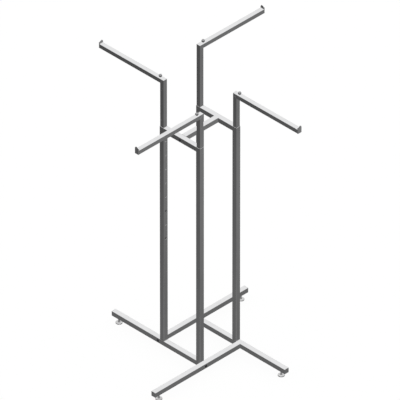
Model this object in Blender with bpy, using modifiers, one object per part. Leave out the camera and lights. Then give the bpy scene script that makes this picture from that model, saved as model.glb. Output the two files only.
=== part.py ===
"""Four way clothing rack: a knock-down chromed stand with four arms that set to their own heights.

The frame is the rack's own: +Z up, the floor at z = 0, and the rack's middle at x = y = 0.
Everything goes round that middle like a pinwheel. Each corner is named by where its arm and
its leg point: west is -X, north is +Y, east is +X and south is -Y. A corner's own frame has +X
along its arm, so all four corners share one design and only their height settings differ.
"""

import math

import bmesh
import bpy
from mathutils import Matrix, Vector

# Driving dimensions, in metres.

GAP = 0.0003  # between pieces that touch
WALL = 0.0012  # of every tube, 18 gauge

TUBE = 0.0254  # side of the 1 inch tube of the legs, uprights and crossbars
TUBE_CORNER = 0.0015
POST = 0.0222  # side of the 7/8 inch tube of the inner posts and the arms
POST_CORNER = 0.0014

UPRIGHT_SPACING = 0.2301  # between the axes of neighbouring uprights
UPRIGHT_TOP = 1.2276  # above the floor
LEG_BOTTOM = 0.029  # above the floor
LEG_REACH = 0.4366  # from the rack's middle to a leg's outer end
ARM_REACH = 0.51345  # from the rack's middle to an arm's outer end

HOLE_COUNT = 8
HOLE_PITCH = 0.0762  # 3 inches
HOLE_RADIUS = 0.00475
ARM_ABOVE_BUTTON = 0.7149  # from the snap button's axis up to the arm's top
POST_BELOW_BUTTON = 0.1143

BUTTON_RADIUS = 0.0043
BUTTON_STANDS_OUT = 0.003  # beyond the upright's face
FLANGE_RADIUS = 0.0056
FLANGE_THICKNESS = 0.0012

SPRING_THICKNESS = 0.0006
SPRING_WIDTH = 0.012
SPRING_LENGTH = 0.06  # from the button's axis down to the bend
SPRING_FLAT = 0.009  # how far each straight pad runs above and below the button's axis

STOP_THICKNESS = 0.004  # of the plate on an arm's end
STOP_SHOULDER = 0.005  # the plate's straight sides above the arm's top
STOP_EDGE = 0.0005

HANGER_STOP_RADIUS = 0.0079375  # a 5/8 inch ball
HANGER_STOP_PEG = 0.003  # radius of the peg that holds the ball
HANGER_STOP_SINK = 0.0045  # how far the peg goes below the arm's top
HANGER_STOP_OUT = 0.02  # outward from the post's axis

GLIDE_REACH = 0.402  # from the rack's middle, along the leg
STUD_RADIUS = 0.00397  # 5/16 inch
STUD_TOP = 0.040
PAD_RADIUS = 0.016
PAD_RIM_HEIGHT = 0.0050
PAD_CONE_HEIGHT = 0.0058
PAD_HUB_RADIUS = 0.0055
PAD_HUB_HEIGHT = 0.0105
PAD_SOCKET_FLOOR = 0.003

CAP_PLATE = 0.0016
CAP_PLUG = 0.010

BOLT_RADIUS = 0.00397  # 5/16 inch
BOLT_HEAD_RADIUS = 0.0070
BOLT_HEAD_HEIGHT = 0.0042
BOLT_REACH = 0.012  # into the end nut
BOLT_SOCKET = 0.0048  # across the flats
BOLT_SOCKET_DEPTH = 0.0025
END_NUT_LENGTH = 0.015
END_NUT_CORNER = 0.0006

CHAMFER = 0.0008  # on turned pieces
ROUND_SIDES = 16
HOLE_SIDES = 12
ARC_STEPS = 4
CORNER_STEPS = 2  # in a rounded corner or edge
CREASE = math.radians(35)  # an edge sharper than this is shaded as a crease

# Worked out from those.

AXIS = UPRIGHT_SPACING / 2  # each upright's axis, from the rack's middle, in x and in y
LEG_MIDDLE = LEG_BOTTOM + TUBE / 2
LEG_TOP = LEG_BOTTOM + TUBE
BORE = TUBE / 2 - WALL  # half the inside of a 1 inch tube
POST_BORE = POST / 2 - WALL

# Each corner: its x and y sides, the turn that brings +X along its arm, and the hole, counted
# from the top, that its snap button is in.
CORNERS = {
    "west": (-1, -1, math.pi, 6),
    "north": (-1, 1, math.pi / 2, 5),
    "east": (1, 1, 0.0, 7),
    "south": (1, -1, -math.pi / 2, 7),
}


# Scene and collections.

def clear_scene():
    for thing in list(bpy.data.objects):
        bpy.data.objects.remove(thing, do_unlink=True)


def new_collection(name):
    collection = bpy.data.collections.new(name)
    bpy.context.scene.collection.children.link(collection)
    return collection


clear_scene()
RACK = new_collection("four_way_clothing_rack")
CUTTERS = new_collection("cutters")


# Materials.

def metal(name, colour, roughness):
    material = bpy.data.materials.new(name)
    material.use_nodes = True
    shader = material.node_tree.nodes["Principled BSDF"]
    shader.inputs["Base Color"].default_value = (*colour, 1.0)
    shader.inputs["Roughness"].default_value = roughness
    shader.inputs["Metallic"].default_value = 1.0
    return material


CHROME = (0.62, 0.62, 0.63)
MATERIALS = {
    "leg": metal("leg_chrome", CHROME, 0.22),
    "leg_end_cap": metal("end_cap_chrome", CHROME, 0.26),
    "upright": metal("upright_chrome", CHROME, 0.20),
    "crossbar": metal("crossbar_chrome", CHROME, 0.20),
    "inner_post": metal("inner_post_chrome", CHROME, 0.16),
    "arm": metal("arm_chrome", CHROME, 0.16),
    "arm_end_stop": metal("end_stop_chrome", CHROME, 0.20),
    "hanger_stop": metal("ball_steel", (0.34, 0.34, 0.345), 0.24),
    "snap_button": metal("button_steel", (0.11, 0.11, 0.115), 0.30),
    "button_spring": metal("spring_steel", (0.30, 0.31, 0.33), 0.35),
    "glide_stud": metal("stud_steel", (0.20, 0.20, 0.205), 0.40),
    "glide_pad": metal("pad_nickel", (0.55, 0.55, 0.55), 0.30),
    "bolt": metal("bolt_black_oxide", (0.05, 0.05, 0.055), 0.42),
    "end_nut": metal("nut_zinc", (0.50, 0.51, 0.53), 0.45),
}


# Making and placing pieces.

def mesh_object(name, bm, collection):
    mesh = bpy.data.meshes.new(name)
    bm.to_mesh(mesh)
    bm.free()
    thing = bpy.data.objects.new(name, mesh)
    collection.objects.link(thing)
    return thing


def as_cutter(thing):
    thing.hide_render = True
    thing.display_type = "WIRE"
    return thing


def finished(pattern, turn=None):
    """The pattern's mesh with its modifiers worked in, for its copies to share."""
    bpy.context.view_layer.update()
    graph = bpy.context.evaluated_depsgraph_get()
    mesh = bpy.data.meshes.new_from_object(pattern.evaluated_get(graph))
    if turn is not None:
        mesh.transform(turn)
    mesh.shade_smooth()
    mesh.set_sharp_from_angle(angle=CREASE)
    bpy.data.objects.remove(pattern, do_unlink=True)
    return mesh


def place(kind, where, mesh, parent, location=(0, 0, 0), turn=0.0):
    """One piece: a copy of a finished mesh, under its parent empty."""
    piece = bpy.data.objects.new(f"{kind}_{where}", mesh)
    RACK.objects.link(piece)
    piece.parent = parent
    piece.location = location
    piece.rotation_euler = (0, 0, turn)
    if not mesh.materials:
        mesh.materials.append(MATERIALS[kind])
    return piece


def empty(name, location, turn=0.0, parent=None):
    guide = bpy.data.objects.new(name, None)
    RACK.objects.link(guide)
    guide.empty_display_size = 0.02
    guide.parent = parent
    guide.location = location
    guide.rotation_euler = (0, 0, turn)
    return guide


# Shapes that repeat.

ALONG_X = Matrix.Rotation(math.pi / 2, 4, "Y")  # turns +Z to +X
AGAINST_X = Matrix.Rotation(-math.pi / 2, 4, "Y")  # turns +Z to -X


def box_mesh(size, centre, corner):
    """A box whose four edges along Z are rounded."""
    bm = bmesh.new()
    place_box = Matrix.Translation(centre) @ Matrix.Diagonal((*size, 1.0))
    bmesh.ops.create_cube(bm, size=1.0, matrix=place_box)
    tall = [e for e in bm.edges if abs(e.verts[0].co.z - e.verts[1].co.z) > size[2] / 2]
    bmesh.ops.bevel(
        bm, geom=tall, offset=corner, segments=CORNER_STEPS, profile=0.5, affect="EDGES",
    )
    return bm


def square_tube(name, side, corner, length):
    """A tube that stands on z = 0: an open skin, thickened inwards."""
    bm = box_mesh((side, side, length), (0, 0, length / 2), corner)
    bm.normal_update()
    ends = [f for f in bm.faces if abs(f.normal.z) > 0.9]
    bmesh.ops.delete(bm, geom=ends, context="FACES")
    tube = mesh_object(name, bm, RACK)
    skin = tube.modifiers.new("wall", "SOLIDIFY")
    skin.thickness = WALL
    skin.offset = -1.0
    skin.use_even_offset = True
    return tube


def cut(piece, cutter):
    boolean = piece.modifiers.new("cut", "BOOLEAN")
    boolean.operation = "DIFFERENCE"
    boolean.object = as_cutter(cutter)
    return piece


def drill(piece, holes):
    """Drills round holes. Each hole is its middle, its direction, its radius and its length."""
    bm = bmesh.new()
    for centre, direction, radius, length in holes:
        turn = Vector((0, 0, 1)).rotation_difference(Vector(direction)).to_matrix().to_4x4()
        bmesh.ops.create_cone(
            bm, cap_ends=True, segments=HOLE_SIDES, radius1=radius, radius2=radius,
            depth=length, matrix=Matrix.Translation(centre) @ turn,
        )
    return cut(piece, mesh_object(piece.name + "_holes", bm, CUTTERS))


def turned(name, profile):
    """A turned piece. Its profile of (radius, z) runs from the top, down the outer side."""
    bm = bmesh.new()
    verts = [bm.verts.new((radius, 0, z)) for radius, z in profile]
    for upper, lower in zip(verts, verts[1:]):
        bm.edges.new((upper, lower))
    piece = mesh_object(name, bm, RACK)
    screw = piece.modifiers.new("turn", "SCREW")
    screw.steps = ROUND_SIDES
    screw.render_steps = ROUND_SIDES
    screw.use_merge_vertices = True
    screw.merge_threshold = 0.00001
    return piece


def dome(radius, height, base):
    """Profile points of a dome, from its top on the axis down to its edge at z = base."""
    ball = (radius**2 + height**2) / (2 * height)
    sweep = math.asin(radius / ball)
    angles = [sweep * i / ARC_STEPS for i in range(ARC_STEPS + 1)]
    return [(ball * math.sin(a), base + height - ball + ball * math.cos(a)) for a in angles]


# The base: four legs, their end caps and their levelling glides.

def leg_mesh(inner_end, offset, bolt_at):
    """A leg in its own frame, where +X points outward: its tube, glide hole and bolt hole."""
    outer_end = LEG_REACH - CAP_PLATE - GAP
    tube = square_tube("leg", TUBE, TUBE_CORNER, outer_end - inner_end)
    tube.data.transform(Matrix.Translation((inner_end, offset, LEG_MIDDLE)) @ ALONG_X)
    drill(tube, [
        ((GLIDE_REACH, offset, LEG_BOTTOM), (0, 0, 1), STUD_RADIUS + 2 * GAP, 4 * WALL),
        ((bolt_at, offset, LEG_MIDDLE), (0, 1, 0), BOLT_RADIUS + 2 * GAP, 2 * TUBE),
    ])
    return finished(tube)


def end_cap_mesh():
    """A cap whose plate is flush with the tube, with a plug behind it. +Z points outward."""
    bm = box_mesh((TUBE, TUBE, CAP_PLATE), (0, 0, -CAP_PLATE / 2), TUBE_CORNER)
    bm.normal_update()
    back = [f for f in bm.faces if f.normal.z < -0.9]
    bmesh.ops.inset_region(bm, faces=back, thickness=TUBE / 2 - BORE + GAP)
    bm.normal_update()
    plug = bmesh.ops.extrude_face_region(bm, geom=back)["geom"]
    plug_verts = [v for v in plug if isinstance(v, bmesh.types.BMVert)]
    bmesh.ops.translate(bm, verts=plug_verts, vec=(0, 0, -CAP_PLUG))
    bmesh.ops.delete(bm, geom=back, context="FACES_ONLY")
    return finished(mesh_object("leg_end_cap", bm, RACK), ALONG_X)


def glide_stud_mesh():
    """The threaded stud, with a chamfered top, standing in the pad's socket."""
    return finished(turned("glide_stud", [
        (0, STUD_TOP),
        (STUD_RADIUS - CHAMFER, STUD_TOP),
        (STUD_RADIUS, STUD_TOP - CHAMFER),
        (STUD_RADIUS, PAD_SOCKET_FLOOR + GAP),
        (0, PAD_SOCKET_FLOOR + GAP),
    ]))


def glide_pad_mesh():
    """The round foot: a low cone with a hub, whose socket takes the stud, and a flat underside."""
    socket = STUD_RADIUS + GAP
    return finished(turned("glide_pad", [
        (0, PAD_SOCKET_FLOOR),
        (socket, PAD_SOCKET_FLOOR),
        (socket, PAD_HUB_HEIGHT),
        (PAD_HUB_RADIUS - CHAMFER, PAD_HUB_HEIGHT),
        (PAD_HUB_RADIUS, PAD_HUB_HEIGHT - CHAMFER),
        (PAD_HUB_RADIUS, PAD_CONE_HEIGHT),
        (PAD_RADIUS - CHAMFER, PAD_RIM_HEIGHT),
        (PAD_RADIUS, PAD_RIM_HEIGHT - CHAMFER),
        (PAD_RADIUS, CHAMFER),
        (PAD_RADIUS - CHAMFER, 0),
        (0, 0),
    ]))


def bolt_mesh():
    """A button head bolt. Its head sits on x = 0 and its shank runs to +X."""
    shank_end = TUBE + GAP + BOLT_REACH
    bolt = turned("bolt", dome(BOLT_HEAD_RADIUS, BOLT_HEAD_HEIGHT, GAP) + [
        (BOLT_RADIUS, GAP),
        (BOLT_RADIUS, CHAMFER - shank_end),
        (BOLT_RADIUS - CHAMFER, -shank_end),
        (0, -shank_end),
    ])
    bm = bmesh.new()
    bmesh.ops.create_cone(
        bm, cap_ends=True, segments=6, radius1=BOLT_SOCKET / math.sqrt(3),
        radius2=BOLT_SOCKET / math.sqrt(3), depth=2 * BOLT_SOCKET_DEPTH,
        matrix=Matrix.Translation((0, 0, GAP + BOLT_HEAD_HEIGHT)),
    )
    cut(bolt, mesh_object("bolt_socket", bm, CUTTERS))
    return finished(bolt, AGAINST_X)


def end_nut_mesh():
    """The threaded block in a tube's end. It starts at x = 0 and runs to +X."""
    side = 2 * (BORE - GAP)
    middle = (0, 0, END_NUT_LENGTH / 2)
    bm = box_mesh((side, side, END_NUT_LENGTH), middle, END_NUT_CORNER)
    block = mesh_object("end_nut", bm, RACK)
    drill(block, [(middle, (0, 0, 1), BOLT_RADIUS + GAP, 2 * END_NUT_LENGTH)])
    return finished(block, ALONG_X)


def build_base(bolt, end_nut):
    """Two legs carry the uprights. Each of the other two butts on one of those, beside them."""
    inner = {"main": -(AXIS + TUBE / 2) + GAP, "side": -(AXIS - TUBE / 2) + GAP}
    offset = {"main": AXIS, "side": AXIS + TUBE}
    legs = {
        "main": leg_mesh(inner["main"], offset["main"], AXIS + TUBE),
        "side": leg_mesh(inner["side"], offset["side"], AXIS),
    }
    cap, stud, pad = end_cap_mesh(), glide_stud_mesh(), glide_pad_mesh()
    for where, (side_x, side_y, turn, _) in CORNERS.items():
        kind = "main" if side_x == side_y else "side"
        frame = empty(f"leg_frame_{where}", (0, 0, 0), turn)
        place("leg", where, legs[kind], frame)
        place("leg_end_cap", where, cap, frame, (LEG_REACH, offset[kind], LEG_MIDDLE))
        glide = empty(f"glide_axis_{where}", (GLIDE_REACH, offset[kind], 0), parent=frame)
        place("glide_stud", where, stud, glide)
        place("glide_pad", where, pad, glide)
        seat = inner[kind] - GAP - TUBE
        place("bolt", f"leg_{where}", bolt, frame, (seat, offset[kind], LEG_MIDDLE))
        place("end_nut", f"leg_{where}", end_nut, frame, (inner[kind], offset[kind], LEG_MIDDLE))


# The column: four uprights and the crossbars that tie their tops.

def upright_mesh():
    """An upright in its corner's frame. Its adjustment holes are in the face away from the arm."""
    bottom = LEG_TOP + GAP
    tube = square_tube("upright", TUBE, TUBE_CORNER, UPRIGHT_TOP - bottom)
    tube.data.transform(Matrix.Translation((0, 0, bottom)))
    heights = [UPRIGHT_TOP - HOLE_PITCH * number for number in range(1, HOLE_COUNT + 1)]
    drill(tube, [((-TUBE / 2, 0, z), (1, 0, 0), HOLE_RADIUS, 4 * WALL) for z in heights])
    return finished(tube)


def crossbar_mesh(bolt_hole):
    """A crossbar between two uprights, along X about x = 0, maybe with a bolt hole across it."""
    length = UPRIGHT_SPACING - TUBE - 2 * GAP
    tube = square_tube("crossbar", TUBE, TUBE_CORNER, length)
    tube.data.transform(Matrix.Translation((-length / 2, 0, 0)) @ ALONG_X)
    if bolt_hole:
        drill(tube, [((0, 0, 0), (0, 1, 0), BOLT_RADIUS + 2 * GAP, 2 * TUBE)])
    return finished(tube)


def build_column(bolt, end_nut):
    upright = upright_mesh()
    for where, (side_x, side_y, turn, _) in CORNERS.items():
        place("upright", where, upright, None, (side_x * AXIS, side_y * AXIS, 0), turn)
    middle = UPRIGHT_TOP - TUBE / 2
    outer_bar = crossbar_mesh(bolt_hole=True)
    place("crossbar", "front", outer_bar, None, (0, -AXIS, middle))
    place("crossbar", "back", outer_bar, None, (0, AXIS, middle))
    place("crossbar", "centre", crossbar_mesh(bolt_hole=False), None, (0, 0, middle), math.pi / 2)
    for where, turn in (("front", math.pi / 2), ("back", -math.pi / 2)):
        frame = empty(f"crossbar_bolt_frame_{where}", (0, 0, middle), turn)
        seat = -(AXIS + TUBE / 2)
        place("bolt", f"crossbar_{where}", bolt, frame, (seat, 0, 0))
        place("end_nut", f"crossbar_{where}", end_nut, frame, (seat + TUBE + GAP, 0, 0))


# The four sliding arms. Their frame has z = 0 at the arm's top and x = 0 on the post's axis.

def mitre_cutter(name, side):
    """A block on one side of the 45 degree joint between the post (-1) and the arm (1)."""
    size = 4 * POST
    bm = bmesh.new()
    bmesh.ops.create_cube(bm, size=size)
    block = mesh_object(name, bm, CUTTERS)
    normal = Vector((1, 0, 1)).normalized() * side
    turn = Matrix.Rotation(-math.pi / 4, 4, "Y")
    joint = Vector((0, 0, -POST / 2))
    block.data.transform(Matrix.Translation(joint + normal * (size / 2 - GAP / 2)) @ turn)
    return block


def inner_post_mesh():
    """The telescoping post, mitred at its top, with the snap button's hole."""
    length = ARM_ABOVE_BUTTON + POST_BELOW_BUTTON
    tube = square_tube("inner_post", POST, POST_CORNER, length)
    tube.data.transform(Matrix.Translation((0, 0, -length)))
    hole = (-POST / 2, 0, -ARM_ABOVE_BUTTON)
    drill(tube, [(hole, (1, 0, 0), BUTTON_RADIUS + GAP, 4 * WALL)])
    cut(tube, mitre_cutter("post_mitre", 1))
    return finished(tube)


def arm_mesh():
    """The arm, mitred to the post, with the hanger stop's hole in its top."""
    outer_end = ARM_REACH - AXIS - STOP_THICKNESS - GAP
    tube = square_tube("arm", POST, POST_CORNER, outer_end + POST / 2)
    tube.data.transform(Matrix.Translation((-POST / 2, 0, -POST / 2)) @ ALONG_X)
    hole = (HANGER_STOP_OUT, 0, 0)
    drill(tube, [(hole, (0, 0, 1), HANGER_STOP_PEG + GAP, 4 * WALL)])
    cut(tube, mitre_cutter("arm_mitre", -1))
    return finished(tube)


def arm_end_stop_mesh():
    """The plate on the arm's end: square below, full round above, seen along X."""
    half = POST / 2
    round_top = [
        (half * math.cos(a), STOP_SHOULDER + half * math.sin(a))
        for a in (math.pi * i / (2 * ARC_STEPS) for i in range(2 * ARC_STEPS + 1))
    ]
    outline = round_top + [(-half, -POST), (half, -POST)]
    curve = bpy.data.curves.new("arm_end_stop", "CURVE")
    curve.dimensions = "2D"
    curve.fill_mode = "BOTH"
    curve.extrude = STOP_THICKNESS / 2
    spline = curve.splines.new("POLY")
    spline.points.add(len(outline) - 1)
    for point, (y, z) in zip(spline.points, outline):
        point.co = (y, z, 0, 1)
    spline.use_cyclic_u = True
    plate = bpy.data.objects.new("arm_end_stop", curve)
    RACK.objects.link(plate)
    weld = plate.modifiers.new("weld", "WELD")
    weld.merge_threshold = 0.00001
    edge = plate.modifiers.new("edge", "BEVEL")
    edge.width = STOP_EDGE
    edge.segments = CORNER_STEPS
    edge.limit_method = "ANGLE"
    edge.angle_limit = CREASE
    stand_up = Matrix(((0, 0, 1, 0), (1, 0, 0, 0), (0, 1, 0, 0), (0, 0, 0, 1)))
    middle = ARM_REACH - AXIS - STOP_THICKNESS / 2
    return finished(plate, Matrix.Translation((middle, 0, 0)) @ stand_up)


def hanger_stop_mesh():
    """A ball on a peg through the arm's top, which keeps hangers off the post."""
    neck = math.asin(HANGER_STOP_PEG / HANGER_STOP_RADIUS)
    middle = GAP + HANGER_STOP_RADIUS * math.cos(neck)
    angles = [(math.pi - neck) * i / (2 * ARC_STEPS) for i in range(2 * ARC_STEPS + 1)]
    ball = [
        (HANGER_STOP_RADIUS * math.sin(a), middle + HANGER_STOP_RADIUS * math.cos(a))
        for a in angles
    ]
    return finished(turned("hanger_stop", ball + [
        (HANGER_STOP_PEG, -HANGER_STOP_SINK),
        (0, -HANGER_STOP_SINK),
    ]))


def snap_button_mesh():
    """The button points to -X, with its flange inside the post. x = 0 is the post's axis."""
    flange_face = POST_BORE - GAP
    tip = TUBE / 2 + BUTTON_STANDS_OUT
    rounding = BUTTON_RADIUS / 2
    return finished(turned("snap_button", dome(BUTTON_RADIUS, rounding, tip - rounding) + [
        (BUTTON_RADIUS, flange_face),
        (FLANGE_RADIUS, flange_face),
        (FLANGE_RADIUS, flange_face - FLANGE_THICKNESS),
        (0, flange_face - FLANGE_THICKNESS),
    ]), AGAINST_X)


def button_spring_mesh():
    """A V-shaped leaf. One pad lies behind the button, the other on the post's far wall."""
    half = SPRING_THICKNESS / 2
    near = -(POST_BORE - GAP - FLANGE_THICKNESS - GAP - half)
    far = POST_BORE - GAP - half
    bend = (far - near) / 4
    middle = (near + far) / 2
    arc = [math.pi * (1 + i / ARC_STEPS) for i in range(ARC_STEPS + 1)]
    route = [(near, SPRING_FLAT), (near, -SPRING_FLAT)]
    route += [(middle + bend * math.cos(a), -SPRING_LENGTH + bend * math.sin(a)) for a in arc]
    route += [(far, -SPRING_FLAT), (far, SPRING_FLAT)]
    bm = bmesh.new()
    verts = [bm.verts.new((x, -SPRING_WIDTH / 2, z)) for x, z in route]
    edges = [bm.edges.new(pair) for pair in zip(verts, verts[1:])]
    across = bmesh.ops.extrude_edge_only(bm, edges=edges)["geom"]
    far_edge = [v for v in across if isinstance(v, bmesh.types.BMVert)]
    bmesh.ops.translate(bm, verts=far_edge, vec=(0, SPRING_WIDTH, 0))
    bmesh.ops.recalc_face_normals(bm, faces=bm.faces)
    leaf = mesh_object("button_spring", bm, RACK)
    thick = leaf.modifiers.new("thickness", "SOLIDIFY")
    thick.thickness = SPRING_THICKNESS
    thick.offset = 0.0
    thick.use_even_offset = True
    return finished(leaf)


def build_arms():
    post, arm = inner_post_mesh(), arm_mesh()
    end_stop, hanger_stop = arm_end_stop_mesh(), hanger_stop_mesh()
    button, spring = snap_button_mesh(), button_spring_mesh()
    for where, (side_x, side_y, turn, hole) in CORNERS.items():
        button_height = UPRIGHT_TOP - HOLE_PITCH * hole
        arm_top = (side_x * AXIS, side_y * AXIS, button_height + ARM_ABOVE_BUTTON)
        slide = empty(f"arm_height_axis_{where}", arm_top, turn)
        place("inner_post", where, post, slide)
        place("arm", where, arm, slide)
        place("arm_end_stop", where, end_stop, slide)
        place("hanger_stop", where, hanger_stop, slide, (HANGER_STOP_OUT, 0, 0))
        place("snap_button", where, button, slide, (0, 0, -ARM_ABOVE_BUTTON))
        place("button_spring", where, spring, slide, (0, 0, -ARM_ABOVE_BUTTON))


def main():
    bolt, end_nut = bolt_mesh(), end_nut_mesh()
    build_base(bolt, end_nut)
    build_column(bolt, end_nut)
    build_arms()
    bpy.context.view_layer.update()


main()
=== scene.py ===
"""Four way clothing rack: the looks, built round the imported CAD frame.

The frame gives every place and size. This script swaps the plain CAD solids for finished ones:
tube with true rounded corners and deburred holes, weld beads, threads, domed heads and worn
chrome. Everything is in metres, in the rack's own frame: +Z up and the floor at z = 0.
"""

import math

import bmesh
import bpy
from mathutils import Matrix, Vector, noise


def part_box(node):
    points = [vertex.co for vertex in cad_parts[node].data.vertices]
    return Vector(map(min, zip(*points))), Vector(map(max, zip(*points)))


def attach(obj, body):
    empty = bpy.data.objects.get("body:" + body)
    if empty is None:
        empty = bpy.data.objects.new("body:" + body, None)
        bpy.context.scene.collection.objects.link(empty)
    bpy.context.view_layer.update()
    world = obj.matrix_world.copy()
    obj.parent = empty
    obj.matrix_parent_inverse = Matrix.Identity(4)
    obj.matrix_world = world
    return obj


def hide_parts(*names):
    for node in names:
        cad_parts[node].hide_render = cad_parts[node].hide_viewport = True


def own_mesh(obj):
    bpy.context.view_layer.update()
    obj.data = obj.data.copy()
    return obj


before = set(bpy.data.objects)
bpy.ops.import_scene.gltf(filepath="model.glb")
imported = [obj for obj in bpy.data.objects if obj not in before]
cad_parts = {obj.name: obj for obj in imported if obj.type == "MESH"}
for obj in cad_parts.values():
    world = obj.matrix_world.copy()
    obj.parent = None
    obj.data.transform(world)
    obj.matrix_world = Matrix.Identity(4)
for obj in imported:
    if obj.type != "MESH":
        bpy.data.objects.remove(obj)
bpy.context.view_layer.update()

CORNERS = ("west", "north", "east", "south")
OUTWARD = {  # the way each corner's arm and leg point
    "west": Vector((-1, 0, 0)),
    "north": Vector((0, 1, 0)),
    "east": Vector((1, 0, 0)),
    "south": Vector((0, -1, 0)),
}
UP = Vector((0, 0, 1))

WALL = 0.0012
TUBE_CORNER = 0.0011
POST_CORNER = 0.0010
DEBURR = 0.00015  # the broken edge round every hole and cut end

FRAME_BEAD = 0.0012  # radius of the weld beads on the 1 inch tube
ARM_BEAD = 0.0008  # and on the 7/8 inch tube
BEAD_SINK = 0.0009  # how deep a bead lies where two tubes are flush

HOLE_COUNT = 8
HOLE_PITCH = 0.0762
HOLE_RADIUS = 0.00475  # of the uprights' adjustment holes
SMALL_HOLE_RADIUS = 0.0046  # of the holes for the bolts, and of the post's hole for its button
SLIP = 0.0003  # between pieces that touch
BALL_PEG = 0.003  # radius of the peg under a hanger stop's ball
SMOOTH_SIDES = 48

VIEW_WIDTH = 1.7931  # across the picture, at the camera's aim
AIM = Vector((0, 0, 0.8225))
TOWARDS_CAMERA = Vector((1, -1, 1)).normalized()
LENS = 1700.0  # in millimetres, as the sensor is, and so long that the view is almost parallel
SENSOR = 36.0

FLOOR_SIZE = 400.0
FLOOR_WHITE = 0.88
FLOOR_GLOW = 0.94  # the share of the floor's white that comes from within
SKY = 1.2  # the white all round the rack
BOWL_DEPTH = 1.0  # below the floor
BOWL_RADIUS = 10.0
BOWL_SIDES = 64
BOWL_TOP = 4.0
BOWL_RISE = -0.5  # the height where the bowl's wall begins to lighten
BOWL_REACH = 4.0  # the reflector's brightness changes this far towards -X -Y and +X +Y
BOWL_LEVELS = (  # how far towards +X +Y, and how bright
    (-4.0, 0.104), (-3.2, 0.112), (-2.8, 0.141), (-2.3, 0.149), (-1.7, 0.178), (-1.1, 0.171),
    (1.3, 0.205), (1.7, 0.192), (2.6, 0.248), (3.1, 0.250), (3.5, 0.225),
)
POOL = (0.99, -0.99, -1.0)  # the middle of the pool of light on the reflector's floor
POOL_EDGE = (0.45, 0.85)  # from its middle to where it begins to fade, and is gone
POOL_LEVEL = 0.75

# How fine each pattern in the metal is: noise per metre along its grain, and across it.
GRAIN = (9, 1800)
HANDLING = (14, 22)
HAZE = (20, 45)
SCRATCHES = (7, 900)
BLASTED = (12, 2600)
DRAWN = (12, 260)
SCRATCH_BAND = (0.66, 0.72)  # the noise's crests, which become scratches
SCRATCH_TINT = 0.8
RELIEF_DEPTH = 0.0001


# Making objects.

def link_mesh(bm, name):
    """Turns a bmesh into an object in the scene."""
    mesh = bpy.data.meshes.new(name)
    bm.to_mesh(mesh)
    bm.free()
    made = bpy.data.objects.new(name, mesh)
    bpy.context.scene.collection.objects.link(made)
    return made


def add_bar(bm, sides, radius, length, place):
    """Adds a straight bar of that many sides, centred on place and along its local +Z."""
    bmesh.ops.create_cone(bm, cap_ends=True, segments=sides, radius1=radius, radius2=radius,
                          depth=length, matrix=place)


# Camera, floor and light.

def make_camera():
    """A very long lens along the cube's diagonal, so the three axes look almost isometric."""
    data = bpy.data.cameras.new("camera")
    data.sensor_width = SENSOR
    data.lens = LENS
    data.clip_start = 1.0
    data.clip_end = 1000.0
    camera = bpy.data.objects.new("camera", data)
    bpy.context.scene.collection.objects.link(camera)
    camera.location = AIM + TOWARDS_CAMERA * VIEW_WIDTH * LENS / SENSOR
    camera.rotation_euler = TOWARDS_CAMERA.to_track_quat("Z", "Y").to_euler()
    bpy.context.scene.camera = camera


def new_material(name):
    material = bpy.data.materials.new(name)
    material.use_nodes = True
    tree = material.node_tree
    tree.nodes.clear()
    output = tree.nodes.new("ShaderNodeOutputMaterial")
    return material, tree, output


def make_floor():
    """White paper, mostly lit from within, so the shadows on it stay faint."""
    bpy.ops.mesh.primitive_plane_add(size=FLOOR_SIZE)
    floor = bpy.context.object
    floor.name = "studio_floor"
    material, tree, output = new_material("floor_paper")
    paper = tree.nodes.new("ShaderNodeBsdfDiffuse")
    paper.inputs["Color"].default_value = (FLOOR_WHITE, FLOOR_WHITE, FLOOR_WHITE, 1)
    glow = tree.nodes.new("ShaderNodeEmission")
    mix = tree.nodes.new("ShaderNodeMixShader")
    mix.inputs["Fac"].default_value = FLOOR_GLOW
    tree.links.new(paper.outputs[0], mix.inputs[1])
    tree.links.new(glow.outputs[0], mix.inputs[2])
    tree.links.new(mix.outputs[0], output.inputs["Surface"])
    floor.data.materials.append(material)
    floor.visible_glossy = False


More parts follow.
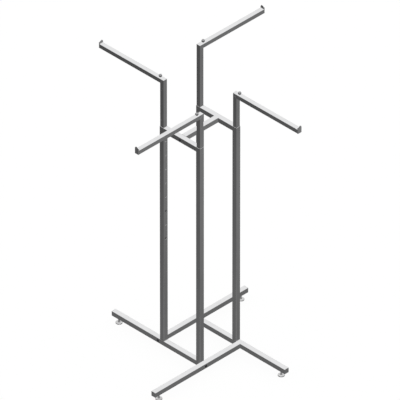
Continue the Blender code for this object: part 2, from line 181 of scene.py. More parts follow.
def make_reflector():
    """What the chrome mirrors below it, in place of the white floor: a wide dim bowl. It is darkest
    towards -X -Y, a pool of light low in front catches the rims of the feet, and its wall
    lightens up to the sky."""
    bm = bmesh.new()
    add_bar(bm, BOWL_SIDES, BOWL_RADIUS, BOWL_TOP + BOWL_DEPTH,
            Matrix.Translation((0, 0, (BOWL_TOP - BOWL_DEPTH) / 2)))
    lid = [f for f in bm.faces if all(v.co.z > 0 for v in f.verts)]
    bmesh.ops.delete(bm, geom=lid, context="FACES_ONLY")
    bowl = link_mesh(bm, "studio_reflector")

    material, tree, output = new_material("reflector")
    place = tree.nodes.new("ShaderNodeNewGeometry").outputs["Position"]

    def measure(operation, vector, low, high, smooth=True):
        """A place's dot product with a vector, or its distance from it: 0 at low, 1 at high."""
        gauge = tree.nodes.new("ShaderNodeVectorMath")
        gauge.operation = operation
        gauge.inputs[1].default_value = vector
        limits = tree.nodes.new("ShaderNodeMapRange")
        limits.interpolation_type = "SMOOTHSTEP" if smooth else "LINEAR"
        limits.inputs["From Min"].default_value = low
        limits.inputs["From Max"].default_value = high
        tree.links.new(place, gauge.inputs[0])
        tree.links.new(gauge.outputs["Value"], limits.inputs["Value"])
        return limits.outputs["Result"]

    def blend(level, share, target):
        mix = tree.nodes.new("ShaderNodeMix")
        tree.links.new(share, mix.inputs["Factor"])
        tree.links.new(level, mix.inputs["A"])
        mix.inputs["B"].default_value = target
        return mix.outputs["Result"]

    diagonal = Vector((1, 1, 0)).normalized()
    ramp = tree.nodes.new("ShaderNodeValToRGB")
    while len(ramp.color_ramp.elements) < len(BOWL_LEVELS):
        ramp.color_ramp.elements.new(0.5)
    for element, (reach, level) in zip(ramp.color_ramp.elements, BOWL_LEVELS):
        element.position = 0.5 + reach / (2 * BOWL_REACH)
        element.color = (level, level, level, 1)
    tree.links.new(measure("DOT_PRODUCT", diagonal, -BOWL_REACH, BOWL_REACH, smooth=False),
                   ramp.inputs["Fac"])
    fade_start, fade_end = POOL_EDGE
    in_pool = measure("DISTANCE", POOL, fade_end, fade_start)
    level = blend(ramp.outputs["Color"], in_pool, POOL_LEVEL)
    level = blend(level, measure("DOT_PRODUCT", UP, BOWL_RISE, BOWL_TOP), SKY)
    glow = tree.nodes.new("ShaderNodeEmission")
    tree.links.new(level, glow.inputs["Strength"])
    tree.links.new(glow.outputs[0], output.inputs["Surface"])
    bowl.data.materials.append(material)
    bowl.visible_camera = False
    bowl.visible_diffuse = False
    bowl.visible_shadow = False
    bowl.visible_transmission = False
    bowl.visible_volume_scatter = False


def make_world():
    world = bpy.data.worlds.new("studio")
    bpy.context.scene.world = world
    world.use_nodes = True
    tree = world.node_tree
    tree.nodes.clear()
    output = tree.nodes.new("ShaderNodeOutputWorld")
    sky = tree.nodes.new("ShaderNodeBackground")
    sky.inputs["Color"].default_value = (1, 1, 1, 1)
    sky.inputs["Strength"].default_value = SKY
    tree.links.new(sky.outputs[0], output.inputs["Surface"])


def make_studio():
    bpy.context.scene.view_settings.view_transform = "Standard"
    make_camera()
    make_floor()
    make_reflector()
    make_world()


# Materials.

def noise_map(tree, coords, scale, detail, low, high, start=0.3, full=0.7):
    """A noise stretched by scale along X, Y and Z. It gives low where the noise is under start,
    and high where it is over full."""
    mapping = tree.nodes.new("ShaderNodeMapping")
    mapping.inputs["Scale"].default_value = scale
    texture = tree.nodes.new("ShaderNodeTexNoise")
    texture.inputs["Scale"].default_value = 1.0
    texture.inputs["Detail"].default_value = detail
    limits = tree.nodes.new("ShaderNodeMapRange")
    limits.inputs["From Min"].default_value = start
    limits.inputs["From Max"].default_value = full
    limits.inputs["To Min"].default_value = low
    limits.inputs["To Max"].default_value = high
    tree.links.new(coords, mapping.inputs["Vector"])
    tree.links.new(mapping.outputs[0], texture.inputs["Vector"])
    tree.links.new(texture.outputs["Fac"], limits.inputs["Value"])
    return limits.outputs["Result"]


def add(tree, first, second, share=1.0):
    """The first value and a share of the second."""
    node = tree.nodes.new("ShaderNodeMath")
    node.operation = "MULTIPLY_ADD"
    node.inputs[1].default_value = share
    tree.links.new(second, node.inputs[0])
    tree.links.new(first, node.inputs[2])
    return node.outputs[0]


def stretched(axis, along, across):
    """Noise scales per metre for a grain that runs along an axis: 0, 1 or 2 for X, Y or Z."""
    return tuple(along if i == axis else across for i in range(3))


def metal(name, colour, roughness, axis=2, grain=0.03, smudge=0.04, scratch=0.0, bump=0.0,
          drawn=0.0, fade=0.975, metallic=1.0):
    """Metal with a fine grain along its axis, wide smudges where hands have been, and sparse fine
    scratches along the axis. Its colour wanders between the one given and fade times that. Bump
    is a fine relief, and drawn is the faint waviness that drawing leaves along a tube."""
    material, tree, output = new_material(name)
    shader = tree.nodes.new("ShaderNodeBsdfPrincipled")
    shader.inputs["Metallic"].default_value = metallic
    coords = tree.nodes.new("ShaderNodeTexCoord").outputs["Object"]
    dull = add(
        tree,
        noise_map(tree, coords, stretched(axis, *GRAIN), 3.0, 0.0, grain),
        noise_map(tree, coords, stretched(axis, *HANDLING), 4.0, roughness, roughness + smudge),
    )
    haze = noise_map(tree, coords, stretched(axis, *HAZE), 5.0, 0.0, 1.0)
    if scratch:
        lines = noise_map(tree, coords, stretched(axis, *SCRATCHES), 2.0, 0.0, 1.0, *SCRATCH_BAND)
        dull = add(tree, dull, lines, scratch)
        haze = add(tree, haze, lines, SCRATCH_TINT)
    tree.links.new(dull, shader.inputs["Roughness"])
    tint = tree.nodes.new("ShaderNodeMix")
    tint.data_type = "RGBA"
    tint.inputs["A"].default_value = (*colour, 1)
    tint.inputs["B"].default_value = (*(c * fade for c in colour), 1)
    tree.links.new(haze, tint.inputs["Factor"])
    tree.links.new(tint.outputs["Result"], shader.inputs["Base Color"])
    if bump or drawn:
        relief = tree.nodes.new("ShaderNodeBump")
        relief.inputs["Strength"].default_value = bump or drawn
        relief.inputs["Distance"].default_value = RELIEF_DEPTH
        pattern = BLASTED if bump else DRAWN
        height = noise_map(tree, coords, stretched(axis, *pattern), 2.0, 0.0, 1.0)
        tree.links.new(height, relief.inputs["Height"])
        tree.links.new(relief.outputs[0], shader.inputs["Normal"])
    tree.links.new(shader.outputs[0], output.inputs["Surface"])
    return material


CHROME = (0.66, 0.66, 0.665)
BRIGHT_CHROME = (0.84, 0.84, 0.845)  # the end stops get a lighter chrome than the tubes
TUBE_FINISH = {"grain": 0.012, "smudge": 0.03, "drawn": 0.3}
TRIM_FINISH = {"grain": 0.03, "smudge": 0.05, "scratch": 0.03}

chrome = [
    metal(f"chrome_plate_{letter}", CHROME, 0.07, axis, scratch=0.03, fade=0.94, **TUBE_FINISH)
    for axis, letter in enumerate("xyz")
]
slide_chrome = metal("chrome_of_sliding_post", CHROME, 0.07, scratch=0.06, fade=0.92, **TUBE_FINISH)
# The tubes' inner faces: near-black and not metallic, a painted shade for the dark inside of every
# tube.
painted_tube_shade = metal("painted_shade_inside_tubes", (0.050, 0.046, 0.042), 0.6, grain=0.1, smudge=0.2,
                    fade=0.6, metallic=0.0)
weld_metal = metal("chrome_over_weld", (0.60, 0.60, 0.605), 0.24, grain=0.05, smudge=0.10,
                   bump=0.25)
trim_metal = metal("chrome_trim", CHROME, 0.10, fade=0.93, **TRIM_FINISH)
stop_metal = metal("chrome_end_stop", BRIGHT_CHROME, 0.10, fade=0.94, **TRIM_FINISH)
ball_metal = metal("ball_steel", (0.34, 0.34, 0.345), 0.22, grain=0.02, smudge=0.10, fade=0.85)
button_metal = metal("button_steel", (0.11, 0.11, 0.115), 0.26, fade=0.8)
spring_metal = metal("blued_spring", (0.20, 0.22, 0.27), 0.30, scratch=0.10, fade=0.7)
stud_metal = metal("phosphated_stud", (0.20, 0.20, 0.205), 0.36, grain=0.08, smudge=0.12, fade=0.75)
zinc = metal("zinc_plate", (0.50, 0.51, 0.53), 0.30, grain=0.08, smudge=0.12, bump=0.15)
nickel = metal("satin_nickel", (0.55, 0.55, 0.55), 0.24, smudge=0.10, bump=0.05, fade=0.85)
black_oxide = metal("black_oxide", (0.045, 0.045, 0.05), 0.34, grain=0.05, smudge=0.12, bump=0.10)


# Making pieces.

def finish_piece(bm, name, material, body, nodes, deburr=0.0, cutter=None):
    """Turns a bmesh into a piece of the rack that rides on a body and stands for CAD nodes. A
    second material goes on the faces with material index 1. No piece mirrors another, because
    the reflector's bowl gives the chrome all its dark tones."""
    bmesh.ops.recalc_face_normals(bm, faces=bm.faces)
    piece = link_mesh(bm, name)
    for each in material if isinstance(material, tuple) else (material,):
        piece.data.materials.append(each)
    if cutter is not None:
        hole = piece.modifiers.new("holes", "BOOLEAN")
        hole.operation = "DIFFERENCE"
        hole.object = cutter
    if deburr:
        edge = piece.modifiers.new("deburr", "BEVEL")
        edge.width = deburr
        edge.segments = 2
        edge.limit_method = "ANGLE"
        edge.angle_limit = math.radians(50)
    bake(piece)
    if cutter is not None:
        bpy.data.objects.remove(cutter, do_unlink=True)
    piece.data.shade_smooth()
    piece.data.set_sharp_from_angle(angle=math.radians(40))
    weights = piece.modifiers.new("flat_faces", "WEIGHTED_NORMAL")
    weights.keep_sharp = True
    piece.visible_glossy = False
    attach(piece, body)
    if nodes:
        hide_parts(*nodes)
    return piece


def bake(piece):
    """Works the modifiers into the mesh."""
    if not piece.modifiers:
        return
    graph = bpy.context.evaluated_depsgraph_get()
    mesh = bpy.data.meshes.new_from_object(piece.evaluated_get(graph))
    piece.modifiers.clear()
    piece.data = mesh


def frame_at(origin, forward, up=UP):
    """A matrix that takes local +Z to forward and local +X as near as it can to up."""
    z = forward.normalized()
    x = (up - up.dot(z) * z).normalized() if abs(up.dot(z)) < 0.99 else Vector((1, 0, 0))
    y = z.cross(x)
    turn = Matrix((x, y, z)).transposed().to_4x4()
    return Matrix.Translation(origin) @ turn


def rounded_square(half, corner, steps):
    """Points round a square with rounded corners, anticlockwise from its +X side. Half is half
    the square's width, and each corner is an arc of that many steps."""
    points = []
    for quarter in range(4):
        middle = math.pi / 2 * quarter + math.pi / 4
        centre = Vector((math.cos(middle), math.sin(middle))) * (half - corner) * math.sqrt(2)
        for i in range(steps + 1):
            angle = math.pi / 2 * (quarter + i / steps)
            points.append(centre + corner * Vector((math.cos(angle), math.sin(angle))))
    return points


def tube_mesh(origin, forward, length, side, corner, start_slant=0.0, end_slant=0.0):
    """A square tube from origin along forward. A slant of 1 cuts an end at 45 degrees, further
    along on the local +X side, which is up for a level tube."""
    bm = bmesh.new()
    steps = 6
    outer = rounded_square(side / 2, corner, steps)
    inner = rounded_square(side / 2 - WALL, corner * 0.5, steps)
    place = frame_at(origin, forward)
    rings = []
    for outline in (outer, inner):
        for along, slant in ((0.0, start_slant), (length, end_slant)):
            rings.append([
                bm.verts.new(place @ Vector((p.x, p.y, along + slant * p.x))) for p in outline
            ])
    outer_start, outer_end, inner_start, inner_end = rings
    count = len(outer)
    for i in range(count):
        j = (i + 1) % count
        bm.faces.new((outer_start[i], outer_start[j], outer_end[j], outer_end[i]))
        # The inner faces take the second material, the painted shade inside the tube.
        inside = bm.faces.new((inner_start[j], inner_start[i], inner_end[i], inner_end[j]))
        inside.material_index = 1
        bm.faces.new((outer_start[j], outer_start[i], inner_start[i], inner_start[j]))
        bm.faces.new((outer_end[i], outer_end[j], inner_end[j], inner_end[i]))
    return bm


def drills(holes):
    """One cutter of round drills. Each hole is its middle, direction, radius and length."""
    bm = bmesh.new()
    for centre, direction, radius, length in holes:
        add_bar(bm, SMOOTH_SIDES, radius, length, frame_at(centre, direction))
    return link_mesh(bm, "drills")


def skin(bm, rings):
    """Closes a solid over rings of the same number of points, from the first to the last."""
    for lower, upper in zip(rings, rings[1:]):
        for i in range(len(lower)):
            j = (i + 1) % len(lower)
            bm.faces.new((lower[i], lower[j], upper[j], upper[i]))
    bm.faces.new(rings[0])
    bm.faces.new(rings[-1])


def layered_mesh(layers, place, steps):
    """A solid through rounded squares. Each layer is its half width, corner radius and height
    along the local +Z of place."""
    bm = bmesh.new()
    skin(bm, [
        [bm.verts.new(place @ Vector((p.x, p.y, height)))
         for p in rounded_square(half, corner, steps)]
        for half, corner, height in layers
    ])
    return bm


def turned_mesh(profile, place, sides=SMOOTH_SIDES):
    """A turned solid. The profile's points are (radius, height) from its top to its bottom, and
    height runs along the local +Z of place."""
    bm = bmesh.new()
    rings = []
    for radius, height in profile:
        if radius < 1e-7:
            rings.append([bm.verts.new(place @ Vector((0, 0, height)))])
            continue
        angles = [2 * math.pi * i / sides for i in range(sides)]
        rings.append([
            bm.verts.new(place @ Vector((radius * math.cos(a), radius * math.sin(a), height)))
            for a in angles
        ])
    for upper, lower in zip(rings, rings[1:]):
        for i in range(sides):
            j = (i + 1) % sides
            corners = [upper[i % len(upper)], lower[i % len(lower)],
                       lower[j % len(lower)], upper[j % len(upper)]]
            loop = list(dict.fromkeys(corners))
            if len(loop) > 2:
                bm.faces.new(loop)
    return bm


def arc(centre_radius, centre_height, radius, start, end, steps=6):
    """Profile points on an arc, with angles in degrees from the outward direction."""
    angles = [math.radians(start + (end - start) * i / steps) for i in range(steps + 1)]
    return [(centre_radius + radius * math.cos(a), centre_height + radius * math.sin(a))
            for a in angles]


def dome(radius, height, base, steps=10):
    """Profile points of a dome, from its top on the axis down to its edge at base."""
    ball = (radius**2 + height**2) / (2 * height)
    sweep = math.asin(min(1.0, radius / ball))
    angles = [sweep * i / steps for i in range(steps + 1)]
    return [(ball * math.sin(a), base + height - ball + ball * math.cos(a)) for a in angles]


def box_of(node):
    low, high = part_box(node)
    return Vector(low), Vector(high)


def middle_of(node):
    low, high = box_of(node)
    return (low + high) / 2


def length_along(node, direction):
    low, high = box_of(node)
    return abs((high - low).dot(direction))


def axis_number(direction):
    return max(range(3), key=lambda i: abs(direction[i]))


# The frame: legs, uprights and crossbars.

def make_tube(node, forward, side, corner, holes=(), body="root"):
    """A straight tube in the place of its CAD node."""
    length = length_along(node, forward)
    origin = middle_of(node) - forward * length / 2
    bm = tube_mesh(origin, forward, length, side, corner)
    cutter = drills(holes) if holes else None
    plate = chrome[axis_number(forward)]
    return finish_piece(bm, f"{node}_tube", (plate, painted_tube_shade), body, [node], DEBURR,
                        cutter)


def make_legs():
    """Each leg has a hole for its glide stud, and one for the bolt of the leg that meets it."""
    for where, next_corner in zip(CORNERS, CORNERS[1:] + CORNERS[:1]):
        node = f"leg_{where}"
        low, high = box_of(node)
        side = high.z - low.z
        stud = middle_of(f"glide_stud_{where}")
        bolt_in = middle_of(f"bolt_leg_{next_corner}")
        across = OUTWARD[where].cross(UP)
        on_axis = middle_of(node)
        bolt_at = on_axis + OUTWARD[where] * (bolt_in - on_axis).dot(OUTWARD[where])
        stud_radius = length_along(f"glide_stud_{where}", across) / 2
        holes = [
            (Vector((stud.x, stud.y, low.z)), UP, stud_radius + 2 * SLIP, 4 * WALL),
            (bolt_at, across, SMALL_HOLE_RADIUS, 2 * side),
        ]
        make_tube(node, OUTWARD[where], side, TUBE_CORNER, holes)


def make_uprights():
    """Each upright has its row of adjustment holes on the face away from its arm."""
    for where in CORNERS:
        node = f"upright_{where}"
        low, high = box_of(node)
        side = high.x - low.x
        face = middle_of(node) - OUTWARD[where] * side / 2
        holes = [
            (Vector((face.x, face.y, high.z - HOLE_PITCH * n)), OUTWARD[where], HOLE_RADIUS,
             4 * WALL)
            for n in range(1, HOLE_COUNT + 1)
        ]
        make_tube(node, UP, side, TUBE_CORNER, holes)


def make_crossbars():
    """The front and back crossbars have a hole for the bolt that holds the centre one."""
    side = length_along("crossbar_front", UP)
    x, y = OUTWARD["east"], OUTWARD["north"]
    for where in ("front", "back"):
        node = f"crossbar_{where}"
        make_tube(node, x, side, TUBE_CORNER, [(middle_of(node), y, SMALL_HOLE_RADIUS, 2 * side)])
    make_tube("crossbar_centre", y, side, TUBE_CORNER)


# The arms.

def make_post_and_arm(where):
    """The post's top and the arm's inner end are cut at 45 degrees where they meet."""
    body = f"sliding_arm_{where}"
    out = OUTWARD[where]
    bottom = box_of(f"inner_post_{where}")[0].z
    side = length_along(f"arm_{where}", UP)
    axis = middle_of(f"inner_post_{where}")
    joint_height = box_of(f"arm_{where}")[1].z - side / 2

    foot = Vector((axis.x, axis.y, bottom))
    bm = tube_mesh(foot, UP, joint_height - bottom, side, POST_CORNER)
    for vert in bm.verts:
        if vert.co.z > (bottom + joint_height) / 2:
            vert.co.z -= (vert.co - axis).dot(out)
    button = middle_of(f"snap_button_{where}")
    face = Vector((axis.x, axis.y, button.z)) - out * side / 2
    cutter = drills([(face, out, SMALL_HOLE_RADIUS, 4 * WALL)])
    finish_piece(bm, f"inner_post_{where}_tube", (slide_chrome, painted_tube_shade), body,
                 [f"inner_post_{where}"], DEBURR, cutter)

    inner_end = Vector((axis.x, axis.y, joint_height))
    outer_end = middle_of(f"arm_{where}") + out * length_along(f"arm_{where}", out) / 2
    length = (outer_end - inner_end).dot(out)
    bm = tube_mesh(inner_end, out, length, side, POST_CORNER, start_slant=-1.0)
    stop = middle_of(f"hanger_stop_{where}")
    top = Vector((stop.x, stop.y, joint_height + side / 2))
    cutter = drills([(top, UP, BALL_PEG + SLIP, 4 * WALL)])
    finish_piece(bm, f"arm_{where}_tube", (chrome[axis_number(out)], painted_tube_shade), body,
                 [f"arm_{where}"], DEBURR, cutter)


def make_end_stop(where):
    """The plate on the arm's end, with a full round top and rolled edges."""
    node = f"arm_end_stop_{where}"
    out = OUTWARD[where]
    low, high = box_of(node)
    thickness = length_along(node, out)
    across = out.cross(UP)
    half = length_along(node, across) / 2
    rolled_edge = 0.0003
    round_steps = 24
    angles = [math.pi * i / round_steps for i in range(round_steps + 1)]
    outline = [Vector((half * math.cos(a), half * math.sin(a))) for a in angles]
    drop = high.z - half - low.z
    outline += [Vector((-half, -drop)), Vector((half, -drop))]
    centre = middle_of(node)
    bm = bmesh.new()
    start = Vector((centre.x, centre.y, high.z - half)) - out * thickness / 2
    face = bm.faces.new([bm.verts.new(start + across * p.x + UP * p.y) for p in outline])
    grown = bmesh.ops.extrude_face_region(bm, geom=[face])["geom"]
    moved = [v for v in grown if isinstance(v, bmesh.types.BMVert)]
    bmesh.ops.translate(bm, verts=moved, vec=out * thickness)
    finish_piece(bm, f"{node}_plate", stop_metal, f"sliding_arm_{where}", [node],
                 rolled_edge)


def make_hanger_stop(where):
    """A ball that stands on the arm, on a peg with a small collar at its neck."""
    node = f"hanger_stop_{where}"
    low, high = box_of(node)
    radius = (high.x - low.x) / 2
    seat = box_of(f"arm_{where}")[1].z + SLIP
    collar = BALL_PEG + 0.0008
    steps = 20
    lowest = math.pi - math.asin(collar / radius)
    angles = [lowest * i / steps for i in range(steps + 1)]
    profile = [(radius * math.sin(a), high.z - radius + radius * math.cos(a)) for a in angles]
    profile += [(collar, seat), (BALL_PEG, seat), (BALL_PEG, low.z + DEBURR)]
    profile += [(BALL_PEG - DEBURR, low.z), (0, low.z)]
    place = Matrix.Translation((*middle_of(node).xy, 0))
    finish_piece(turned_mesh(profile, place), f"{node}_ball", ball_metal,
                 f"sliding_arm_{where}", [node])


def make_snap_button(where):
    """The domed pin with its flange, pointing away from the arm."""
    node = f"snap_button_{where}"
    back = -OUTWARD[where]
    centre = middle_of(node)
    length = length_along(node, back)
    flange = length_along(node, UP) / 2
    radius = 0.0043
    flange_thickness = 0.0012
    neck = 0.0003
    edge = 0.0002
    profile = dome(radius, radius / 2, length - radius / 2)
    profile += [(radius, flange_thickness + neck), (radius + neck, flange_thickness)]
    profile += [(flange - edge, flange_thickness), (flange, flange_thickness - edge)]
    profile += [(flange, edge), (flange - edge, 0), (0, 0)]
    place = frame_at(centre - back * length / 2, back)
    finish_piece(turned_mesh(profile, place), f"{node}_pin", button_metal, f"button_{where}",
                 [node])


def make_button_spring(where):
    """A V-shaped leaf inside the post, from behind the button to the far wall, with a mesh of its
    own."""
    node = f"button_spring_{where}"
    out = OUTWARD[where]
    low, high = box_of(node)
    depth = length_along(node, out)
    width = length_along(node, out.cross(UP))
    thickness = 0.0006
    near = middle_of(node) - out * (depth - thickness) / 2
    span = depth - thickness
    bend = span / 4
    pad = 0.018  # the flat length behind the button
    narrowing = 0.94  # the slanted part's share of the leaf's width
    pad_bottom = high.z - pad
    bend_height = low.z + thickness / 2 + bend
    steps = 12
    route = [(0.0, high.z), (0.0, pad_bottom)]
    for i in range(1, steps):
        share = i / steps
        eased = share * share * (3 - 2 * share)
        route.append(((span / 2 - bend) * eased, pad_bottom - (pad_bottom - bend_height) * share))
    half = len(route)
    route += [
        (span / 2 + bend * math.cos(a), bend_height + bend * math.sin(a))
        for a in (math.pi * (1 + i / steps) for i in range(steps + 1))
    ]
    route += [(span - x, z) for x, z in reversed(route[:half])]
    bm = bmesh.new()
    rings = []
    for i, (x, z) in enumerate(route):
        before, after = route[max(i - 1, 0)], route[min(i + 1, len(route) - 1)]
        run = Vector((after[0] - before[0], after[1] - before[1])).normalized()
        aside = Vector((-run.y, run.x)) * thickness / 2
        taper = 0.5 * width * (1 if x < thickness or x > span - thickness else narrowing)
        rings.append([
            bm.verts.new(
                Vector((near.x, near.y, z + sign * aside.y))
                + out * (x + sign * aside.x) + out.cross(UP) * across
            )
            for sign, across in ((1, taper), (1, -taper), (-1, -taper), (-1, taper))
        ])
    for first, second in zip(rings, rings[1:]):
        for i in range(4):
            bm.faces.new((first[i], first[i - 1], second[i - 1], second[i]))
    bm.faces.new(rings[0])
    bm.faces.new(rings[-1])
    leaf = finish_piece(bm, f"{node}_leaf", spring_metal, f"sliding_arm_{where}",
                        [node], 0.0001)
    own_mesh(leaf)


# Weld beads.

def bead_path(centre, across, along, across_limits, along_limits, corner=0.002):
    """Points round a rectangle with rounded corners, evenly spaced. Each pair of limits gives
    the rectangle's sides, measured from its centre."""
    spacing = 0.0006
    corner_steps = 4
    outline = []
    ends = ((1, 1), (0, 1), (0, 0), (1, 0))
    for quarter, (i, j) in enumerate(ends):
        x = across_limits[i] + (-corner if i else corner)
        y = along_limits[j] + (-corner if j else corner)
        for step in range(corner_steps + 1):
            angle = math.pi / 2 * (quarter + step / corner_steps)
            outline.append(centre + across * (x + corner * math.cos(angle))
                           + along * (y + corner * math.sin(angle)))
    path = []
    for start, end in zip(outline, outline[1:] + outline[:1]):
        count = max(1, round((end - start).length / spacing))
        path += [start.lerp(end, i / count) for i in range(count)]
    return path


def make_bead(name, path, radius, body):
    """A weld bead: a round rope of metal round a closed, flat path, with a ripple for each
    puddle that the welder laid down."""
    sides = 8
    points_per_puddle = 4
    leanest, rippled, uneven = 0.86, 0.12, 0.08  # shares of the radius
    lumps = 250  # of the unevenness, per metre
    plane = (path[1] - path[0]).cross(path[len(path) // 3] - path[0]).normalized()
    puddles = round(len(path) / points_per_puddle)
    bm = bmesh.new()
    rings = []
    for i, point in enumerate(path):
        tangent = (path[(i + 1) % len(path)] - path[i - 1]).normalized()
        aside = plane.cross(tangent)
        ripple = abs(math.sin(math.pi * puddles * i / len(path)))
        swell = leanest + rippled * ripple + uneven * noise.noise(point * lumps)
        rings.append([
            bm.verts.new(point + radius * swell * (aside * math.cos(a) + plane * math.sin(a)))
            for a in (2 * math.pi * k / sides for k in range(sides))
        ])
    for first, second in zip(rings, rings[1:] + rings[:1]):
        for k in range(sides):
            bm.faces.new((first[k], second[k], second[k - 1], first[k - 1]))
    finish_piece(bm, name, weld_metal, body, [])


def make_frame_beads():
    """Round each upright's foot on its leg, and round each end of the front and back crossbars.
    A bead lies outside a tube at an inside corner, and sinks where the tubes are flush."""
    x, y = OUTWARD["east"], OUTWARD["north"]
    for where in CORNERS:
        low, high = box_of(f"upright_{where}")
        half = (high.x - low.x) / 2
        sunk = half - BEAD_SINK
        foot = Vector((*middle_of(f"upright_{where}").xy, low.z - SLIP / 2))
        limits = {"north": (-sunk, half), "south": (-half, sunk)}.get(where, (-half, half))
        make_bead(f"weld_upright_{where}", bead_path(foot, x, y, limits, (-sunk, sunk)),
                  FRAME_BEAD, "root")
    for where in ("front", "back"):
        low, high = box_of(f"crossbar_{where}")
        half = (high.z - low.z) / 2
        sunk = half - BEAD_SINK
        for end, side in (("west", -1), ("east", 1)):
            seam = middle_of(f"crossbar_{where}") + x * side * (high.x - low.x) / 2
            make_bead(f"weld_crossbar_{where}_{end}",
                      bead_path(seam, y, UP, (-sunk, sunk), (-half, sunk)),
                      FRAME_BEAD, "root")


def make_arm_beads(where):
    """Fine beads round the mitre and round the end stop, ground almost flush."""
    body = f"sliding_arm_{where}"
    out = OUTWARD[where]
    across = out.cross(UP)
    half = length_along(f"arm_{where}", UP) / 2
    sunk = half - ARM_BEAD / 2
    mitre = middle_of(f"inner_post_{where}")
    mitre.z = box_of(f"arm_{where}")[1].z - half
    make_bead(f"weld_mitre_{where}",
              bead_path(mitre, UP - out, across, (-half - SLIP, sunk), (-sunk, sunk)),
              ARM_BEAD, body)
    seam = middle_of(f"arm_{where}") + out * length_along(f"arm_{where}", out) / 2
    make_bead(f"weld_end_stop_{where}",
              bead_path(seam, UP, across, (-sunk, half), (-sunk, sunk)),
              ARM_BEAD, body)


# Feet, caps and bolts.

def make_end_cap(where):
    """A pressed cap, flush with the tube, with a softly rounded rim and a plug behind."""
    node = f"leg_end_cap_{where}"
    out = OUTWARD[where]
    side = length_along(node, UP)
    length = length_along(node, out)
    outer_face = middle_of(node) + out * length / 2
    plate = 0.0016
    rim = 0.0007
    plug = side / 2 - WALL - SLIP
    plug_corner = 0.0006
    lead_in = 0.0008
    layers = [
        (side / 2 - rim, TUBE_CORNER - rim * 0.8, 0.0),
        (side / 2 - rim * 0.3, TUBE_CORNER - rim * 0.3, rim * 0.3),
        (side / 2, TUBE_CORNER, rim),
        (side / 2, TUBE_CORNER, plate),
        (plug, plug_corner, plate),
        (plug, plug_corner, length - lead_in),
        (plug - lead_in, plug_corner, length),
    ]
    bm = layered_mesh(layers, frame_at(outer_face, -out), 6)
    finish_piece(bm, f"{node}_pressing", trim_metal, "root", [node])


def make_glide_pad(where):
    """A low cone with a rolled rim and a turned hub round the stud. Its underside has a shallow
    ring, so that it stands on its rim and its middle."""
    node = f"glide_pad_{where}"
    low, high = box_of(node)
    radius = (high.x - low.x) / 2
    socket = length_along(f"glide_stud_{where}", OUTWARD[where]) / 2 + SLIP
    socket_floor = 0.003
    hub = 0.0055
    hub_edge = 0.0006
    cone = 0.0058
    rim = 0.0050
    roll = 0.0008
    dip = 0.0005  # how far the cone's foot lies under the rim's crest
    lower_edge = 0.0005
    foot = 0.004  # the rim's width underneath
    hollow = 0.0007  # the depth of the ring
    ramp = 0.001  # the width of its sloping sides
    profile = [(0, socket_floor), (socket, socket_floor), (socket, high.z - DEBURR)]
    profile += [(socket + DEBURR, high.z)]
    profile += arc(hub - hub_edge, high.z - hub_edge, hub_edge, 90, 0)
    profile += [(hub, cone + hub_edge), (hub + 0.3 * hub_edge, cone + 0.3 * hub_edge)]
    profile += [(hub + hub_edge, cone - DEBURR), (radius - 2.5 * roll, rim - dip)]
    profile += arc(radius - roll, rim - roll, roll, 90, 0)
    profile += arc(radius - lower_edge, lower_edge, lower_edge, 0, -90, 4)
    profile += [(radius - foot, 0), (radius - foot - ramp, hollow), (hub, hollow), (hub - ramp, 0)]
    profile += [(0, 0)]
    place = Matrix.Translation((*middle_of(node).xy, 0))
    finish_piece(turned_mesh(profile, place), f"{node}_disc", nickel, f"glide_{where}",
                 [node])


def make_glide_stud(where):
    """A right-hand thread: the ridge climbs one pitch a turn, and runs out at both ends."""
    node = f"glide_stud_{where}"
    low, high = box_of(node)
    crest = length_along(node, OUTWARD[where]) / 2
    pitch = 0.0254 / 18
    depth = 0.6 * pitch
    bare = 0.0068  # the plain length that sits in the pad
    tip = 0.0012  # the chamfer at the top
    steps_per_turn = 8
    sides = 32
    rows = int((high.z - low.z) / pitch * steps_per_turn)
    bm = bmesh.new()
    axis = middle_of(node)
    rings = []
    for row in range(rows + 1):
        z = low.z + (high.z - low.z) * row / rows
        ring = []
        for i in range(sides):
            angle = 2 * math.pi * i / sides
            phase = ((z - low.z) / pitch - i / sides) % 1.0
            ridge = abs(2 * phase - 1)
            fade = min(1.0, max(0.0, (z - low.z - bare) / pitch))
            chamfer = max(0.0, tip - (high.z - z))
            radius = crest - depth * ridge * fade - chamfer
            ring.append(bm.verts.new((axis.x + radius * math.cos(angle),
                                      axis.y + radius * math.sin(angle), z)))
        rings.append(ring)
    skin(bm, rings)
    finish_piece(bm, f"{node}_thread", stud_metal, f"screw_{where}", [node])


def make_weld_nut(where):
    """The hexagon nut inside the leg, round the glide stud, welded to the leg's bottom wall."""
    flats = 0.0127
    height = 0.0068
    leg_bottom = box_of(f"leg_{where}")[0].z
    stud = middle_of(f"glide_stud_{where}")
    bore = length_along(f"glide_stud_{where}", OUTWARD[where]) / 2 + SLIP
    centre = Vector((stud.x, stud.y, leg_bottom + WALL + height / 2))
    edge = 0.0004
    bm = bmesh.new()
    add_bar(bm, 6, flats / math.sqrt(3), height, Matrix.Translation(centre))
    cutter = drills([(centre, UP, bore, 2 * height)])
    finish_piece(bm, f"weld_nut_{where}", zinc, "root", [], edge, cutter)


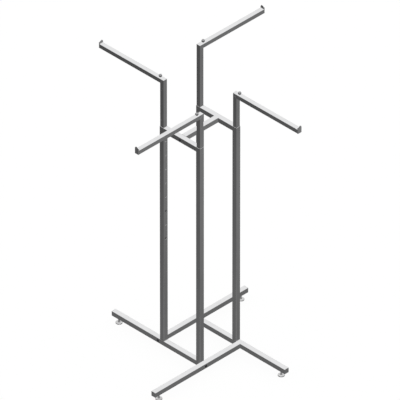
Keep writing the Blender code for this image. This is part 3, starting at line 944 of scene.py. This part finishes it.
def make_bolt(node, forward):
    """A button head screw, its hex socket in the crown. Local +Z points out of the head."""
    out = -forward
    length = length_along(node, forward)
    head_radius = length_along(node, UP) / 2
    head_height = 0.0042
    brim = 0.0005  # the head's thickness at its edge
    undercut = 0.0002
    shank = 0.00397
    tip = 0.0008
    flats = 0.0048
    socket_depth = 0.0025
    edge = 0.0001
    seat = length - head_height
    profile = dome(head_radius, head_height - brim, seat + brim)
    profile += [(head_radius - undercut, seat), (shank, seat), (shank, tip)]
    profile += [(shank - tip, 0), (0, 0)]
    place = frame_at(middle_of(node) - out * length / 2, out)
    top = middle_of(node) + out * length / 2
    bm = bmesh.new()
    add_bar(bm, 6, flats / math.sqrt(3), 2 * socket_depth, frame_at(top, out))
    finish_piece(turned_mesh(profile, place), f"{node}_screw", black_oxide, "root",
                 [node], edge, link_mesh(bm, "socket"))


def make_end_nut(node, forward):
    """The square block in a tube's end, with a plain bore for its bolt."""
    length = length_along(node, forward)
    half = length_along(node, UP) / 2
    corner = 0.0006
    chamfer = 0.0005
    bore = 0.00425
    edge = 0.0001
    layers = [(half - chamfer, corner, 0.0), (half, corner, chamfer),
              (half, corner, length - chamfer), (half - chamfer, corner, length)]
    place = frame_at(middle_of(node) - forward * length / 2, forward)
    cutter = drills([(middle_of(node), forward, bore, 2 * length)])
    bm = layered_mesh(layers, place, 3)
    finish_piece(bm, f"{node}_block", zinc, "root", [node], edge, cutter)


def make_fasteners():
    for where in CORNERS:
        make_bolt(f"bolt_leg_{where}", OUTWARD[where])
        make_end_nut(f"end_nut_leg_{where}", OUTWARD[where])
    for where, forward in (("front", OUTWARD["north"]), ("back", OUTWARD["south"])):
        make_bolt(f"bolt_crossbar_{where}", forward)
        make_end_nut(f"end_nut_crossbar_{where}", forward)


def main():
    """The studio, then the whole rack."""
    make_studio()
    make_legs()
    make_uprights()
    make_crossbars()
    for where in CORNERS:
        make_post_and_arm(where)
        make_end_stop(where)
        make_hanger_stop(where)
        make_arm_beads(where)
        make_snap_button(where)
        make_button_spring(where)
        make_end_cap(where)
        make_glide_pad(where)
        make_glide_stud(where)
        make_weld_nut(where)
    make_frame_beads()
    make_fasteners()


main()
